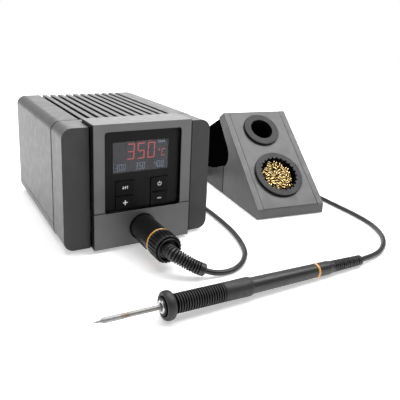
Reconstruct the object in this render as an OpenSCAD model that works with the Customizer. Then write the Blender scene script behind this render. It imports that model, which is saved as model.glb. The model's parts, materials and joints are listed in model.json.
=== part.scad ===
// Soldering iron station: a control unit with a plug-in iron, the iron's cord and its stand.
// +Z is up, -Y is the front. The origin is on the bench, under the middle of the set.

/* [Layout] */
// Control unit's centre line, across
unit_x = -65; // [-68:1:-62]
// Control unit's front face
unit_y = -26; // [-28:1:-24]
// Stand's front edge, middle, across
stand_x = 87.5; // [84:0.5:92]
// Stand's front edge, middle
stand_y = -32.5; // [-36:0.5:-30]
// Turn of the stand about the vertical
stand_yaw = -7.4; // [-12:0.1:-4]
// Middle of the iron's flange, across
iron_x = -93.2; // [-95:0.2:-92]
// Middle of the iron's flange
iron_y = -135.2; // [-138:0.2:-134]
// Turn of the iron about the vertical
iron_yaw = 0.5; // [-1:0.1:1]
// Slope of the iron as it lies on its flange
iron_tilt = 1.65; // [1.4:0.05:1.9]

/* [Control unit] */
// Width of the front bezel
body_w = 124; // [123:0.5:125]
// Height of the front bezel
body_h = 96; // [95.5:0.5:96.5]
// Depth from the front face to the rear panel
body_d = 168; // [166:1:170]
// Radius of the housing's long edges
corner_r = 8; // [7:0.5:9]
// Height of the rubber feet
foot_h = 2.5; // [2:0.5:3]
// How far the rear housing stands out past the bezel
shell_step = 0.5; // [0.3:0.1:0.6]
// Depth of the front bezel
bezel_d = 30; // [29:0.5:31]
// Wall of the housing
wall = 2; // [1.8:0.1:2.2]
// Grooves along the top
groove_count = 11; // [9:2:11]
// Distance between two grooves
groove_pitch = 7.8; // [7:0.1:8]
// Width of a groove
groove_w = 3.2; // [2.8:0.1:3.4]

/* [Front block] */
// Width of the raised middle block
block_w = 81.4; // [81:0.2:81.8]
// How far the block stands out in front
block_out = 7.2; // [7:0.1:7.6]
// How far the block stands up above the bezel
block_up = 3; // [2.6:0.1:3.2]
// How far the block reaches back
block_back = 20.4; // [20:0.2:21]
// Height of the seam between the block's two halves
seam_z = 32.3; // [32:0.1:32.6]
// Width of the window
window_w = 63.8; // [63.6:0.1:64]
// Lower edge of the window
window_low = 31.2; // [31:0.1:31.4]
// Upper edge of the window
window_high = 95.2; // [95:0.1:95.4]
// Radius of the window's corners
window_r = 2.4; // [2:0.1:3]
// Width of the display
lcd_w = 46.4; // [46:0.1:47]
// Height of the display
lcd_h = 24.2; // [24:0.1:24.6]
// Width of a key
key_w = 15.5; // [15:0.1:16]
// Height of a key
key_h = 11.4; // [11:0.1:11.6]
// Travel of a key
key_travel = 0.8; // [0.6:0.1:0.8]

/* [Plug] */
// Height of the iron socket
socket_z = 16.6; // [16.4:0.1:17]
// Radius of the plug's barrel
barrel_r = 10.35; // [10.2:0.05:10.5]
// Radius of the plug's clamping nut
nut_r = 10.9; // [10.7:0.1:11]
// Flutes around the clamping nut
flute_count = 24; // [20:2:28]

/* [Iron] */
// Radius of the grip's flange
flange_r = 9.35; // [9.2:0.05:9.35]
// Radius of the grip
grip_r = 6.15; // [6:0.05:6.3]
// Radius of the heater tube
heater_r = 1.55; // [1.5:0.05:1.6]
// Length of the tip and heater in front of the flange
tip_reach = 46.4; // [45:0.2:48]
// Diameter of the cord
cord_d = 4.2; // [4:0.1:4.4]

/* [Stand] */
// Width of the stand
stand_w = 72; // [71:0.5:73]
// Height of the front lip
lip_h = 10.3; // [10:0.1:10.6]
// Angle of the sloping face
slope_deg = 41.9; // [41.5:0.1:42.3]
// Length of the sloping face
slope_l = 113.8; // [113:0.2:114.6]
// Place of the cleaner along the slope
cleaner_s = 35.4; // [35:0.2:36]
// Place of the iron holder along the slope
holder_s = 89.5; // [89:0.5:90]
// Radius of the hole that holds the iron
holder_r = 11.6; // [11.4:0.1:11.8]

/* [Hidden] */

$fn = 48;
eps = 0.01;      // lets one cut run past a face
fit = 0.1;       // clearance of a sliding fit
gap = 0.4;       // gap at a seam
shell_grey = "#8d8f92";
dark_grey = "#46474a";
panel_grey = "#6c6d70";
near_black = "#1b1b1d";
rubber_black = "#29292b";
accent_orange = "#e39a2e";
metal = "#c8c9cb";
gold = "#d6ad55";
board_green = "#2f6b45";

// Control unit, levels and faces
base_z = foot_h;
top_z = base_z + body_h - 0.2;
shell_w = body_w + 2 * shell_step;
tray_z = 14.1;                     // seam between the cover and the tray
cover_y = bezel_d + gap;
groove_depth = 2.4;
vent_margin = 20;                  // solid length of a groove before and after its vent
block_top = top_z + block_up;
block_wall = 2.3;
front_y = -block_out;
face_t = 3;
channel_w = 0.6;                   // channel on each side of the block
channel_d = 2.4;
overlay_y = front_y + 3.5;
overlay_t = 2;
overlay_back = overlay_y + overlay_t;
lcd_x = -1.2;
lcd_z = 73.9;
key_x = 14.6;
key_row_high = 50;
key_row_low = 37.65;
key_proud = 0.9;
key_gap = 0.25;                    // between a key and its opening
key_back = overlay_back + 0.2;
board_y = 5;
board_t = 1.6;

// Inside, from the tray's floor up
floor_z = base_z + wall - shell_step / 2;
board_low = 12;
core_x = -16;
core_y = 110;
board_left = 18;
board_right = 55;
screw_y = [52, 142];               // screws of the tray, from the front

// Mains inlet on the rear panel
inlet_x = 30;
inlet_z = 36;
inlet_w = 27.4;
inlet_h = 34;
drawer_z = 13;                     // above the inlet's middle
drawer_w = 18;
drawer_h = 7.4;
drawer_l = 26;
cavity_w = 24.4;
cavity_h = 16.8;
cavity_d = 17;
cavity_z = -3.4;

// Plug, along -Y from the block's front
plug_front = front_y - 1.4;
socket_x = -0.8;                   // socket, across from the unit's middle
plug_step = -38.7;
ring_end = -40.5;
nut_end = -56;
spigot_end = -53;
spigot_r = 8.9;
latch_turn = 215;                  // where the latch sits round the barrel
latch_low = -32;
latch_high = -21;

// Cord routes, outer end of the plug's boot to the iron's boot; z is the cord's middle
cord_z = cord_d / 2;
boot_route = [[-65.8, -79, 16.6], [-65.8, -83, 16.6], [-64.8, -88, 15.8], [-60.4, -93, 13.2],
    [-54, -97.5, 9.6], [-47, -100.7, 6]];
front_route = [[-47, -100.7, 6], [-41.5, -102.4, 4], [-35.5, -103.2, 2.8], [-29, -103, cord_z],
    [-22, -101.8, cord_z], [-14, -97.6, cord_z], [-6.5, -91, cord_z], [1.2, -81, cord_z],
    [8.2, -65, cord_z], [14, -44, cord_z], [17.6, -20, cord_z], [19.6, 4, cord_z],
    [20.5, 28, cord_z], [20.5, 54, cord_z], [20.5, 80, cord_z], [20.5, 106, cord_z],
    [20.5, 132, cord_z]];
rear_route = [[66, 174, 9.4], [84, 171, 6.2], [104, 162, 3.4], [122, 148, cord_z],
    [138, 128, cord_z], [149, 104, cord_z], [154, 76, cord_z], [154, 48, cord_z],
    [152, 20, cord_z], [148.5, -8, cord_z], [147.1, -34, cord_z], [145.6, -58, cord_z],
    [141, -82, cord_z], [131, -102, cord_z], [118, -116, cord_z], [103, -125.4, cord_z],
    [88, -130.4, 3], [71.2, -133.8, 4.6]];
coil_x = 50.5;
coil_y = 146;
coil_r = 30;
coil_layers = 3;

// Iron, distances along its axis from the flange's middle
iron_z = 9.38;
grip_end = 61;
tube_end = 118.2;
handle_ring_end = 120.3;
cap_end = 134;
iron_boot_end = 164;
boot_r = 4.4;
boot_end_r = 3.75;
tube_r_front = 5.5;
tube_r_back = 5;
core_r = 4.95;
bore_r = 3.6;
bushing_r = 4.3;

// Stand
slope_top_y = slope_l * cos(slope_deg);
slope_top_z = lip_h + slope_l * sin(slope_deg);
bevel_y = 95.6;
bevel_z = 79.4;
stand_split = 76.8;
stand_gap = 1.4;                   // between the stand's front and rear parts
ring_x = -1;                       // both rings, across from the stand's middle
stand_d = 132.4;
shroud_d = 129;
stand_foot = 0.8;
stand_wall = 2.6;
cut_r = 14;                        // round end of the side opening
cut_y = 82;
cut_z = 44;
plate_w = 60;
plate_t = 3;
cleaner_hole_r = 20.3;
cup_r = 20.1;
cup_depth = 20;
ring_h = 2.6;
holder_ring_r = 19;
cleaner_ring_r = 24.6;

// ---------- helpers ----------

module rounded(w, h, r) {
    for (x = [-1, 1], z = [-1, 1]) translate([x * (w / 2 - r), z * (h / 2 - r)]) circle(r);
    square([w - 2 * r, h], center = true);
    square([w, h - 2 * r], center = true);
}

// A flat outline in X and Z, made solid from y0 to y1
module across_y(y0, y1) {
    translate([0, y1, 0]) rotate([90, 0, 0]) linear_extrude(y1 - y0) children();
}

// A flat outline in Y and Z, made solid from x0 to x1
module across_x(x0, x1) {
    translate([x0, 0, 0]) rotate([90, 0, 90]) linear_extrude(x1 - x0) children();
}

module rod_y(r, y0, y1) {
    translate([0, y1, 0]) rotate([90, 0, 0]) cylinder(h = y1 - y0, r = r);
}

module block(x, y, z) {
    translate([x[0], y[0], z[0]]) cube([x[1] - x[0], y[1] - y[0], z[1] - z[0]]);
}

module at_unit() {
    translate([unit_x, unit_y, 0]) children();
}

module at_socket() {
    at_unit() translate([socket_x, 0, socket_z]) children();
}

module at_stand() {
    translate([stand_x, stand_y, 0]) rotate([0, 0, stand_yaw]) children();
}

// Z points out of the sloping face, s runs up it
module on_slope(s) {
    at_stand() translate([ring_x, s * cos(slope_deg), lip_h + s * sin(slope_deg)])
        rotate([slope_deg, 0, 0]) children();
}

// Z runs along the iron from the tip to the cord
module on_iron() {
    translate([iron_x, iron_y, iron_z]) rotate([0, 90 + iron_tilt, iron_yaw]) children();
}

module span(r, s0, s1) {
    translate([0, 0, s0]) cylinder(h = s1 - s0, r = r);
}

function unit_vector(v) = v / norm(v);

function spline_point(a, b, c, d, t) =
    0.5 * (2 * b + (c - a) * t + (2 * a - 5 * b + 4 * c - d) * t * t
        + (3 * b - a - 3 * c + d) * t * t * t);

// Doubles the points of a route with a smooth curve through them
function smooth(route) = let (n = len(route)) concat(
    [for (i = [0 : n - 2], t = [0, 0.5])
        spline_point(route[max(i - 1, 0)], route[i], route[i + 1], route[min(i + 2, n - 1)], t)],
    [route[n - 1]]);

function heading(path, i) =
    unit_vector(path[min(i + 1, len(path) - 1)] - path[max(i - 1, 0)]);

function ring_points(p, t, r, sides) =
    let (side = unit_vector(cross(t, [0, 0, 1])), up = cross(side, t))
    [for (i = [0 : sides - 1]) p + r * (cos(360 * i / sides) * side + sin(360 * i / sides) * up)];

// A round bar along a path, with radius r0 at its start and r1 at its end
module sweep(path, r0, r1, sides = 10) {
    n = len(path);
    points = [for (i = [0 : n - 1])
        each ring_points(path[i], heading(path, i), r0 + (r1 - r0) * i / (n - 1), sides)];
    walls = [for (k = [0 : n - 2], i = [0 : sides - 1])
        let (a = k * sides + i, b = k * sides + (i + 1) % sides)
        each [[a, b, b + sides], [a, b + sides, a + sides]]];
    start = [for (i = [sides - 1 : -1 : 0]) i];
    finish = [for (i = [0 : sides - 1]) (n - 1) * sides + i];
    polyhedron(points = points, faces = concat([start], [finish], walls), convexity = 10);
}

// ---------- control unit, housing ----------

module rear_outline(inset = 0) {
    translate([0, base_z + body_h / 2]) rounded(shell_w - 2 * inset, body_h + shell_step - 2 * inset,
        corner_r - inset);
}

module bezel_outline(inset = 0) {
    translate([0, base_z + body_h / 2]) rounded(body_w - 2 * inset, body_h - 2 * inset,
        corner_r - inset);
}

module main_cover() {
    color(shell_grey) at_unit() difference() {
        across_y(cover_y, body_d) rear_outline();
        across_y(cover_y - 1, body_d + 1) intersection() {
            rear_outline(wall);
            translate([-body_w, 0]) square([2 * body_w, top_z - 4.2]);
        }
        block([-body_w, body_w], [0, 2 * body_d], [-1, tray_z + gap]);
        for (i = [0 : groove_count - 1]) {
            x = (i - (groove_count - 1) / 2) * groove_pitch;
            block([x - groove_w / 2, x + groove_w / 2], [cover_y - eps, body_d + 1],
                [top_z - groove_depth, top_z + 5]);
            block([x - groove_w / 2 + 0.5, x + groove_w / 2 - 0.5],
                [cover_y + vent_margin, body_d - vent_margin], [top_z - 10, top_z]);
        }
    }
}

module base_tray() {
    color(shell_grey) at_unit() difference() {
        across_y(cover_y, body_d) rear_outline();
        across_y(cover_y - 1, body_d + 1) rear_outline(wall);
        block([-body_w, body_w], [0, 2 * body_d], [tray_z, 2 * body_h]);
        for (x = [-40, 40], y = screw_y) translate([x, y, 0]) cylinder(h = 10, r = 1.6);
    }
}

module rear_panel() {
    color(dark_grey) at_unit() difference() {
        across_y(body_d - wall, body_d) intersection() {
            rear_outline(wall + 0.15);
            translate([-body_w, 0]) square([2 * body_w, top_z - 4.4]);
        }
        block([inlet_x - inlet_w / 2 - 0.2, inlet_x + inlet_w / 2 + 0.2], [body_d - 5, body_d + 1],
            [inlet_z - inlet_h / 2 - 0.2, inlet_z + inlet_h / 2 + 0.2]);
        for (x = [-50, 50], z = [20, 82])
            translate([x, body_d + 1, z]) rotate([90, 0, 0]) cylinder(h = 10, r = 1.6);
        for (i = [0 : 5])
            block([-46 + 8 * i, -42 + 8 * i], [body_d - 5, body_d + 1], [52, 76]);
    }
}

module front_bezel() {
    half = block_w / 2 + 0.2;
    color(dark_grey) at_unit() difference() {
        across_y(0, bezel_d) bezel_outline();
        across_y(face_t + channel_d, bezel_d + 1) bezel_outline(wall + 0.6);
        block([-half, half], [-1, block_back + 0.3], [base_z + wall, 2 * body_h]);
        block([-half, half], [-1, 1.2], [-1, 2 * body_h]);
        for (side = [-1, 1]) translate([side * (half + channel_w / 2), 0, 0])
            block([-channel_w / 2 - eps, channel_w / 2 + eps], [-1, channel_d],
                [-1, 2 * body_h]);
    }
}

module window_outline(inset = 0) {
    translate([0, (window_low + window_high) / 2])
        rounded(window_w - 2 * inset, window_high - window_low - 2 * inset, window_r);
}

module fascia_upper() {
    half = block_w / 2;
    color(panel_grey) at_unit() difference() {
        block([-half, half], [front_y, block_back], [seam_z, block_top]);
        block([-half + block_wall, half - block_wall], [front_y + face_t, block_back - 2],
            [seam_z - 1, block_top - block_wall]);
        across_y(front_y - 1, front_y + face_t + 1) window_outline();
        block([-half + block_wall, half - block_wall], [0, block_back + 1], [0, top_z - 3]);
    }
}

module fascia_lower() {
    half = block_w / 2;
    color(panel_grey) at_socket() difference() {
        translate([-socket_x, 0, -socket_z]) difference() {
            block([-half, half], [front_y, 0.9], [base_z, seam_z - 0.3]);
            block([-half + block_wall, half - block_wall], [front_y + face_t, 2],
                [base_z + 2, seam_z]);
            across_y(front_y - 1, front_y + face_t + 1) window_outline();
        }
        rod_y(8.3, front_y - 1, 2);
    }
}

// ---------- control unit, display and keys ----------

module overlay_panel() {
    color(near_black) at_unit() difference() {
        across_y(overlay_y, overlay_back) window_outline(0.15);
        translate([lcd_x, 0, lcd_z]) block([-lcd_w / 2, lcd_w / 2],
            [overlay_y - 1, overlay_back + 1], [-lcd_h / 2, lcd_h / 2]);
        for (x = [-key_x, key_x], z = [key_row_low, key_row_high])
            translate([x, 0, z]) block([-key_w / 2, key_w / 2],
                [overlay_y - 1, overlay_back + 1], [-key_h / 2, key_h / 2]);
    }
}

module display_lens() {
    color(dark_grey) at_unit() translate([lcd_x, 0, lcd_z])
        block([-lcd_w / 2 + 0.1, lcd_w / 2 - 0.1], [overlay_y, overlay_y + 1.4],
            [-lcd_h / 2 + 0.1, lcd_h / 2 - 0.1]);
}

module lcd_module() {
    color("#4b4752") at_unit() translate([lcd_x, 0, lcd_z])
        block([-lcd_w / 2 - 2, lcd_w / 2 + 2], [overlay_back + 0.1, board_y - 0.1],
            [-lcd_h / 2 - 2, lcd_h / 2 + 1.5]);
}

module key(x, z) {
    color(near_black) at_unit() translate([x, 0, z]) {
        block([-key_w / 2 + key_gap, key_w / 2 - key_gap], [overlay_y - key_proud, key_back + 0.8],
            [-key_h / 2 + key_gap, key_h / 2 - key_gap]);
        block([-key_w / 2 - 1, key_w / 2 + 1], [key_back, key_back + 0.8],
            [-key_h / 2 + fit, key_h / 2 - fit]);
        block([-1.5, 1.5], [key_back + 0.7, key_back + 2.4], [-1.5, 1.5]);
    }
}

module key_set() { key(-key_x, key_row_high); }
module key_power() { key(key_x, key_row_high); }
module key_plus() { key(-key_x, key_row_low); }
module key_minus() { key(key_x, key_row_low); }

module control_board() {
    switch_y = key_back + 2.4 + key_travel + 0.1;
    color(board_green) at_unit() {
        block([-36, 36], [board_y, board_y + board_t], [33.5, 92]);
        for (x = [-key_x, key_x], z = [key_row_low, key_row_high])
            translate([x, 0, z]) block([-3, 3], [switch_y, board_y + 0.1], [-3, 3]);
    }
}

// ---------- control unit, inside ----------

module main_board() {
    color(board_green) at_unit() block([board_left, board_right], [40, 134],
        [board_low, board_low + board_t]);
}

module board_standoffs() {
    color(metal) at_unit() for (x = [board_left + 4, board_right - 4], y = [44, 130])
        translate([x, y, floor_z]) cylinder(h = board_low - floor_z, r = 2.5);
}

module heatsink() {
    color("#a9abad") at_unit() translate([board_right - 6, 84, board_low + board_t]) {
        block([-2, 2], [-26, 26], [0, 34]);
        for (i = [0 : 6]) block([-8, -1.9], [-26 + 8 * i, -24 + 8 * i], [0, 34]);
    }
}

module capacitors() {
    color("#2d3550") at_unit() for (y = [56, 80, 104])
        translate([board_left + 12, y, board_low + board_t]) cylinder(h = 26, r = 8);
}

module transformer_core() {
    color("#5b5d60") at_unit() translate([core_x, core_y, 0]) difference() {
        block([-30, 30], [-18, 18], [7, 57]);
        for (x = [-15, 15]) block([x - 6, x + 6], [-19, 19], [17, 47]);
    }
}

module transformer_coil() {
    color("#8a5a30") at_unit() translate([core_x, core_y, 32]) difference() {
        block([-20.6, 20.6], [-26, 26], [-14.6, 14.6]);
        block([-9.2, 9.2], [-18.2, 18.2], [-20, 20]);
    }
}

module transformer_bracket() {
    color(metal) at_unit() translate([core_x, core_y, 0]) {
        block([-38, 38], [-14, 14], [floor_z, 6.3]);
        for (x = [-32.2, 30.2]) block([x, x + 2], [-14, 14], [6.2, 59]);
        block([-32.2, 32.2], [-14, 14], [57.1, 59]);
    }
}

module power_inlet() {
    color(near_black) at_unit() translate([inlet_x, body_d, inlet_z]) {
        difference() {
            union() {
                block([-inlet_w / 2, inlet_w / 2], [-28, 0.1], [-inlet_h / 2, inlet_h / 2]);
                block([-15.5, 15.5], [0, 2.4], [-19, 19]);
            }
            translate([0, 0, cavity_z]) block([-cavity_w / 2, cavity_w / 2],
                [2.4 - cavity_d, 3], [-cavity_h / 2, cavity_h / 2]);
            translate([0, 0, drawer_z]) block([-drawer_w / 2 - fit, drawer_w / 2 + fit],
                [2.4 - drawer_l, 3], [-drawer_h / 2 - fit, drawer_h / 2 + fit]);
        }
        for (pin = [[-7, -1.5], [0, 2.5], [7, -1.5]])
            translate([pin[0], 0, cavity_z + pin[1]]) block([-1, 1], [-18, -4], [-2, 2]);
    }
}

module fuse_drawer() {
    color(near_black) at_unit() translate([inlet_x, body_d, inlet_z + drawer_z]) difference() {
        union() {
            block([-drawer_w / 2, drawer_w / 2], [-20, 2.5], [-drawer_h / 2, drawer_h / 2]);
            block([-drawer_w / 2, drawer_w / 2], [2.5, 3.6], [-drawer_h / 2, drawer_h / 2]);
        }
        translate([0, -8, 0]) block([-11, 8], [-2.8, 2.8], [-2.9, 4]);
    }
}

module fuse() {
    color(metal) at_unit() translate([inlet_x - 9, body_d - 8, inlet_z + drawer_z])
        rotate([0, 90, 0]) cylinder(h = 16, r = 2.6);
}

module station_feet() {
    color(rubber_black) at_unit() for (x = [-46, 46], y = [36, 156])
        translate([x, y, 0]) cylinder(h = base_z - shell_step / 2, r = 7);
}

module base_screws() {
    color(metal) at_unit() for (x = [-40, 40], y = screw_y) translate([x, y, 0]) {
        translate([0, 0, 1]) cylinder(h = base_z - 1 - shell_step / 2, r = 2.8);
        translate([0, 0, base_z - 0.5]) cylinder(h = 6, r = 1.5);
    }
}

module rear_screws() {
    color(metal) at_unit() for (x = [-50, 50], z = [20, 82])
        translate([x, body_d + 1.6, z]) rotate([90, 0, 0]) difference() {
            union() {
                cylinder(h = 1.6, r = 2.8);
                cylinder(h = 10, r = 1.5);
            }
            for (turn = [0, 90]) rotate([0, 0, turn]) cube([3.4, 0.8, 1.8], center = true);
        }
}

// ---------- iron socket and plug ----------

module iron_socket() {
    color(near_black) at_socket() difference() {
        union() {
            rod_y(11, front_y - 1.2, front_y);
            rod_y(8, -18, front_y - 1.1);
            rod_y(8.2, front_y - 0.1, 10);
        }
        rod_y(6.8, -19, -9);
    }
}

module socket_nut() {
    color(metal) at_socket() difference() {
        translate([0, front_y + face_t + 3.1, 0]) rotate([90, 0, 0])
            cylinder(h = 3, r = 12, $fn = 6);
        rod_y(8.25, -6, 1);
    }
}

module leads(routes, r, tint) {
    color(tint) at_unit() for (route = routes) sweep(smooth(route), r, r, 8);
}

module socket_leads() {
    leads([for (i = [-1 : 1]) [[socket_x + 4 * i, 10.3, socket_z], [4 * i, 16, socket_z],
        [16 + 4 * i, 28, 18], [24 + 4 * i, 38, 16.5], [26 + 4 * i, 46, 14.6]]], 0.9, "#b03a2e");
}

module mains_leads() {
    leads([for (z = [26, 32]) [[20, 139.95, z], [19.5, 138.2, z], [16, 137.4, z], [4, 137.2, z],
        [-6, 136.95, z]]], 0.8, "#7a4a2b");
}

module plug_body() {
    color(near_black) at_socket() difference() {
        union() {
            rod_y(barrel_r, plug_step, plug_front);
            rod_y(spigot_r, spigot_end, plug_step + eps);
        }
        rod_y(8.1, -18.6, 0);
        rod_y(5.4, -54, -46);
        rotate([0, -latch_turn, 0]) {
            block([7.9, 12], [latch_low - 0.2, latch_high + 0.2], [-2.6, 2.6]);
            block([9.3, 12], [latch_high, plug_front + 1], [-2.6, 2.6]);
        }
    }
}

module plug_insert() {
    color(metal) at_socket() {
        rod_y(6.6, -18.55, -15);
        for (i = [0 : 4]) rotate([0, 72 * i, 0]) translate([4, 0, 0]) rod_y(0.7, -15.1, -9.4);
    }
}

module plug_latch() {
    color(near_black) at_socket() rotate([0, -latch_turn, 0])
        block([8.8, 10.9], [latch_low, latch_high], [-2.4, 2.4]);
}

module plug_ring() {
    color(accent_orange) at_socket() difference() {
        rod_y(barrel_r + 0.25, ring_end, plug_step - 0.05);
        rod_y(spigot_r + 0.03, ring_end - 1, 0);
    }
}

module clamping_nut() {
    color(near_black) at_socket() difference() {
        union() {
            rod_y(nut_r, nut_end + 2.2, ring_end - 0.15);
            translate([0, nut_end + 2.2, 0]) rotate([90, 0, 0])
                cylinder(h = 2.2, r1 = nut_r, r2 = nut_r - 1);
        }
        rod_y(spigot_r + 0.06, spigot_end - 0.2, 0);
        translate([0, spigot_end, 0]) rotate([90, 0, 0]) cylinder(h = 4, r1 = 7, r2 = 9);
        for (i = [0 : flute_count - 1]) rotate([0, 360 * i / flute_count, 0])
            translate([nut_r + 0.2, 0, 0]) rod_y(0.6, nut_end + 3.5, ring_end - 1.8);
    }
}

module plug_boot() {
    color(rubber_black) sweep(smooth(boot_route), 5.3, 4.7, 16);
}

// ---------- cord ----------

module cord_front() {
    color(rubber_black) sweep(smooth(front_route), cord_d / 2, cord_d / 2);
}

module cord_coil() {
    color(rubber_black) translate([coil_x, coil_y, 0]) rotate_extrude()
        translate([coil_r - cord_d / 2, 0]) square([cord_d, coil_layers * cord_d]);
}

module cord_rear() {
    color(rubber_black) sweep(smooth(rear_route), cord_d / 2, cord_d / 2);
}

// ---------- iron ----------

module tip() {
    color(metal) on_iron() rotate_extrude() polygon([[0, -tip_reach], [0.3, -tip_reach],
        [0.7, -tip_reach + 2.6], [heater_r + 0.13, -tip_reach + 5.9], [heater_r + 0.13, -28], [0, -28]]);
}

module heater_tube() {
    color(metal) on_iron() span(heater_r, -28, 42);
}

module front_bushing() {
    color(metal) on_iron() difference() {
        span(bushing_r, -4.6, 7.8);
        span(heater_r + 0.06, -6, 9);
    }
}

module grip() {
    color(rubber_black) on_iron() difference() {
        union() {
            span(grip_r, 0, grip_end - 1);
            translate([0, 0, grip_end - 1]) cylinder(h = 1, r1 = grip_r, r2 = grip_r - 0.5);
            rotate_extrude() polygon([[0, -3.4], [6.8, -3.4], [8.5, -2.8], [flange_r, -1.2],
                [flange_r, 1.6], [8.5, 2.9], [6.2, 3.4], [0, 3.4]]);
        }
        span(core_r + 0.03, -1.9, grip_end + 1);
        span(bushing_r + 0.05, -6, 0);
    }
}

module handle_tube() {
    color(dark_grey) on_iron() difference() {
        union() {
            span(core_r, -1.85, grip_end + 0.1);
            translate([0, 0, grip_end + 0.05])
                cylinder(h = tube_end - grip_end - 0.05, r1 = tube_r_front, r2 = tube_r_back);
            span(4.4, tube_end - eps, handle_ring_end + 3);
        }
        span(bushing_r + 0.03, -3, 8);
        span(bore_r, 7, 200);
    }
}

module handle_ring() {
    color(accent_orange) on_iron() difference() {
        span(tube_r_back + 0.1, tube_end + 0.03, handle_ring_end);
        span(4.43, tube_end - 1, handle_ring_end + 1);
    }
}

module end_cap() {
    color(dark_grey) on_iron() difference() {
        union() {
            span(tube_r_back, handle_ring_end + 0.03, cap_end - 3.5);
            translate([0, 0, cap_end - 3.5]) cylinder(h = 1.6, r1 = tube_r_back, r2 = 4.5);
            span(4.5, cap_end - 2, cap_end);
        }
        span(4.43, handle_ring_end - 1, handle_ring_end + 3.1);
        span(2.9, handle_ring_end, cap_end + 1);
    }
}

module iron_boot() {
    color(rubber_black) on_iron() {
        translate([0, 0, cap_end + 0.02])
            cylinder(h = iron_boot_end - cap_end - 0.02, r1 = boot_r, r2 = boot_end_r);
        span(2.85, cap_end - 6, cap_end + 0.1);
    }
}

module contact_block() {
    color("#d9d4c2") on_iron() difference() {
        span(bore_r - 0.02, 36, 66);
        span(heater_r + 0.06, 35, 43);
    }
}

// ---------- stand ----------

module side_opening() {
    translate([cut_y, cut_z]) circle(cut_r);
    polygon([[71.7, 53.5], [bevel_y, bevel_z], [bevel_y + 40, bevel_z], [bevel_y + 40, 30],
        [cut_y, 30]]);
}

module wedge_outline() {
    difference() {
        polygon([[0, stand_foot], [0, lip_h], [slope_top_y, slope_top_z], [bevel_y, bevel_z],
            [bevel_y, 50], [stand_split, 40], [stand_split, stand_foot]]);
        side_opening();
    }
}

module wedge_space() {
    polygon([[stand_wall, -1], [stand_wall, lip_h - 1.2],
        [slope_top_y, slope_top_z - stand_wall * 1.35 - 1.2], [bevel_y - 1.2, bevel_z - 2.4],
        [200, bevel_z - 60], [200, -1]]);
}

module stand_shell() {
    color(shell_grey) at_stand() difference() {
        across_x(-stand_w / 2, stand_w / 2) wedge_outline();
        across_x(-stand_w / 2 + stand_wall, stand_w / 2 - stand_wall) wedge_space();
        translate([0, 0, lip_h]) rotate([slope_deg, 0, 0]) {
            block([-plate_w / 2 + 3, plate_w / 2 - 3], [8, slope_l - 8], [-8, 0]);
            block([-plate_w / 2, plate_w / 2], [-0.2, slope_l + 5], [-plate_t - 0.05, 2]);
        }
    }
}

module slope_plate() {
    half = plate_w / 2 - 0.3;
    color(shell_grey) difference() {
        at_stand() intersection() {
            across_x(-half, half) polygon([[0, lip_h], [slope_top_y, slope_top_z],
                [bevel_y, bevel_z], [bevel_y, 0], [0, 0]]);
            translate([0, 0, lip_h]) rotate([slope_deg, 0, 0])
                block([-half, half], [0.15, slope_l + 4], [-plate_t, 1]);
        }
        on_slope(cleaner_s) span(cleaner_hole_r, -10, 10);
        on_slope(holder_s) span(holder_r + 2.1, -10, 10);
    }
}

module shroud_outline() {
    polygon([[bevel_y + 0.4, bevel_z - 0.4], [126, 64], [shroud_d, 60], [shroud_d, 5], [66, 5],
        [66, 50], [bevel_y - 5, 74]]);
}

// The shroud is open in front and below: its walls are the two sides, the top and the back
module shroud_space() {
    polygon([[50, -1], [shroud_d - 2, -1], [shroud_d - 2, 59], [124.8, 62.2],
        [bevel_y + 0.4, bevel_z - 2.7], [bevel_y - 3, bevel_z], [50, bevel_z]]);
}

module rear_shroud() {
    half = stand_w / 2 - stand_wall - 0.3;
    color(near_black) at_stand() difference() {
        across_x(-half, half) shroud_outline();
        across_x(-half + 2, half - 2) shroud_space();
    }
}

module rear_outline_side() {
    difference() {
        polygon([[stand_split + stand_gap, stand_foot], [stand_split + stand_gap, 31], [86, 28.4],
            [98, 23.6], [112, 19.4], [stand_d, 17], [stand_d, stand_foot]]);
        translate([cut_y, cut_z]) circle(cut_r);
    }
}

module stand_rear() {
    inner = stand_w / 2 - stand_wall;
    color(shell_grey) at_stand() difference() {
        across_x(-stand_w / 2, stand_w / 2) rear_outline_side();
        block([-inner, inner], [0, stand_d - stand_wall], [-1, 60]);
    }
}

module holder_ring() {
    color(dark_grey) on_slope(holder_s) difference() {
        union() {
            span(holder_ring_r, 0.05, ring_h - 0.8);
            translate([0, 0, ring_h - 0.8])
                cylinder(h = 0.8, r1 = holder_ring_r, r2 = holder_ring_r - 0.6);
            span(holder_r + 2, -plate_t, 0.1);
        }
        span(holder_r, -10, 10);
    }
}

module holder_tube() {
    color(near_black) on_slope(holder_s) difference() {
        span(holder_r + 1.6, -58, -plate_t - 0.05);
        span(holder_r, -59, 1);
    }
}

module cleaner_ring() {
    color(dark_grey) on_slope(cleaner_s) difference() {
        union() {
            span(cleaner_ring_r, 0.05, ring_h - 0.8);
            translate([0, 0, ring_h - 0.8])
                cylinder(h = 0.8, r1 = cleaner_ring_r, r2 = cleaner_ring_r - 0.6);
        }
        span(18.6, -1, ring_h + 1);
    }
}

module cleaner_cup() {
    color(near_black) on_slope(cleaner_s) difference() {
        span(cup_r, -cup_depth, 0.03);
        span(cup_r - 1.5, -cup_depth + 1.5, 1);
    }
}

module brass_wool() {
    color(gold) on_slope(cleaner_s) {
        span(cup_r - 1.8, -cup_depth + 1.6, -3);
        span(16.8, -3.1, 0);
        translate([0, 0, -eps]) cylinder(h = 3, r1 = 16.4, r2 = 12);
    }
}

module stand_base() {
    half = stand_w / 2 - stand_wall - 0.3;
    color(dark_grey) at_stand() block([-half, half], [3, stand_d - stand_wall - 0.3],
        [stand_foot, 3.4]);
}

module stand_feet() {
    color(rubber_black) at_stand() for (x = [-25, 25], y = [12, 114])
        translate([x, y, 0]) cylinder(h = stand_foot, r = 5);
}

// ---------- one line for each piece ----------

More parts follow.
